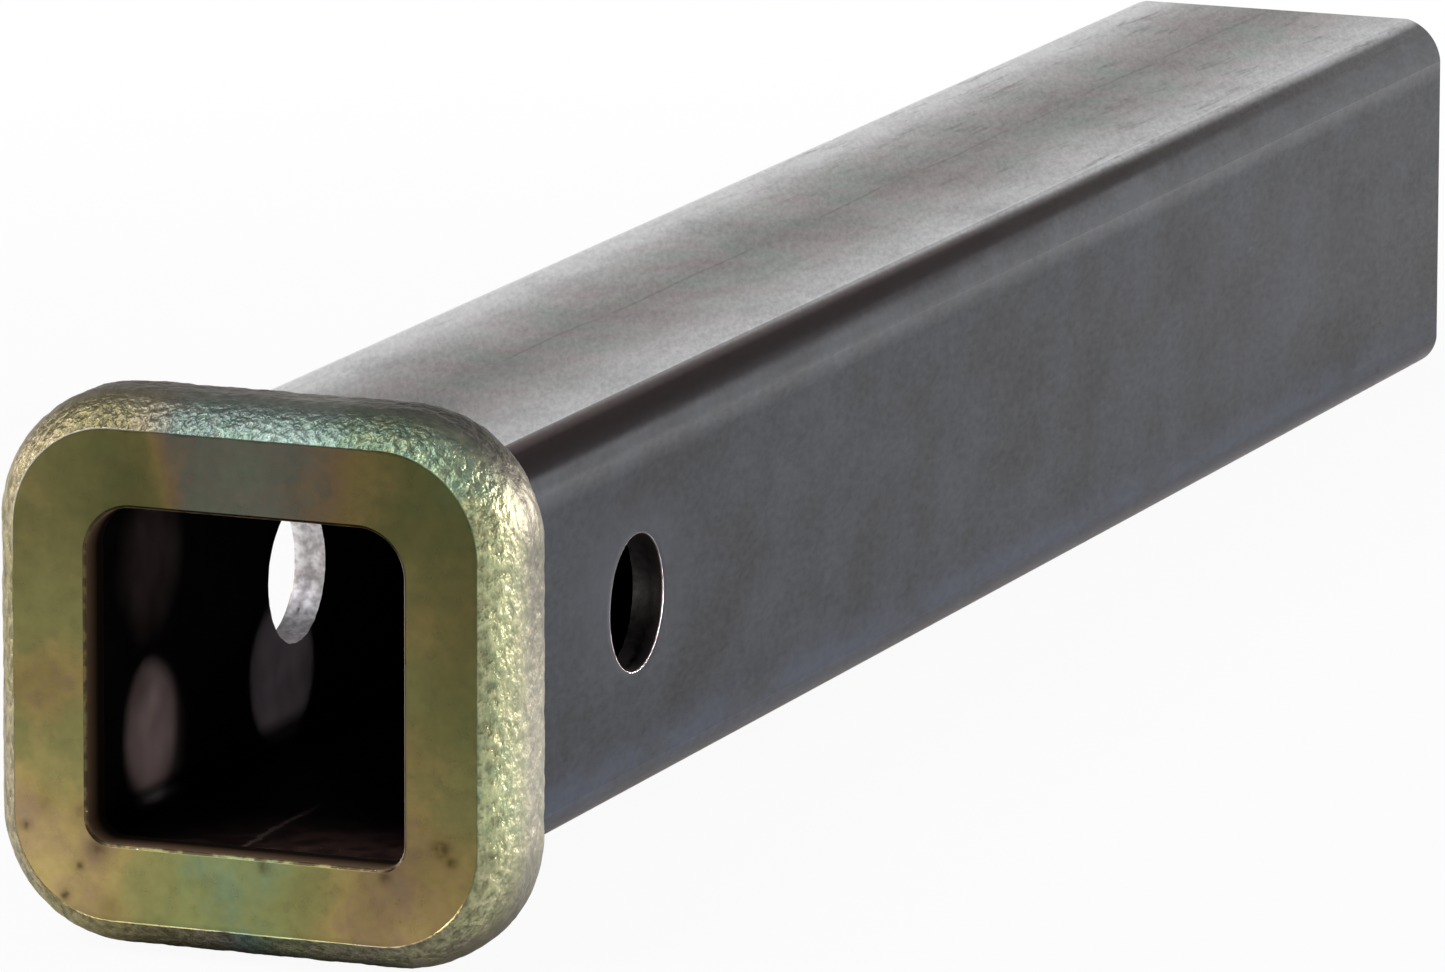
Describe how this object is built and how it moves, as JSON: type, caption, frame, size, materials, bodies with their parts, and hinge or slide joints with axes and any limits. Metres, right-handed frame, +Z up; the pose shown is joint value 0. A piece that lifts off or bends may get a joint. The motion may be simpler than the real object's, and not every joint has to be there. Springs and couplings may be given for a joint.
{
  "type": "receiver tube",
  "caption": "Weld-on square receiver tube with a rounded, faced reinforcing collar round its mouth and a cross pin hole through both side walls.",
  "frame": {"origin": "centre of the pin hole, on the tube's axis", "axes": "+X along the pin hole, +Y along the tube from its mouth to its rear end, +Z up"},
  "size_m": [0.0524, 0.2794, 0.0524],
  "materials": {
    "raw_steel": "mill scale, dull with streaks",
    "yellow_zinc": "iridescent yellow zinc plating, smooth on the face and rough on the rim",
    "weld_metal": "rippled weld bead, as laid"
  },
  "bodies": {
    "root": {"square_tube": "raw_steel", "collar": "yellow_zinc", "collar_weld": "weld_metal"}
  },
  "joints": []
}
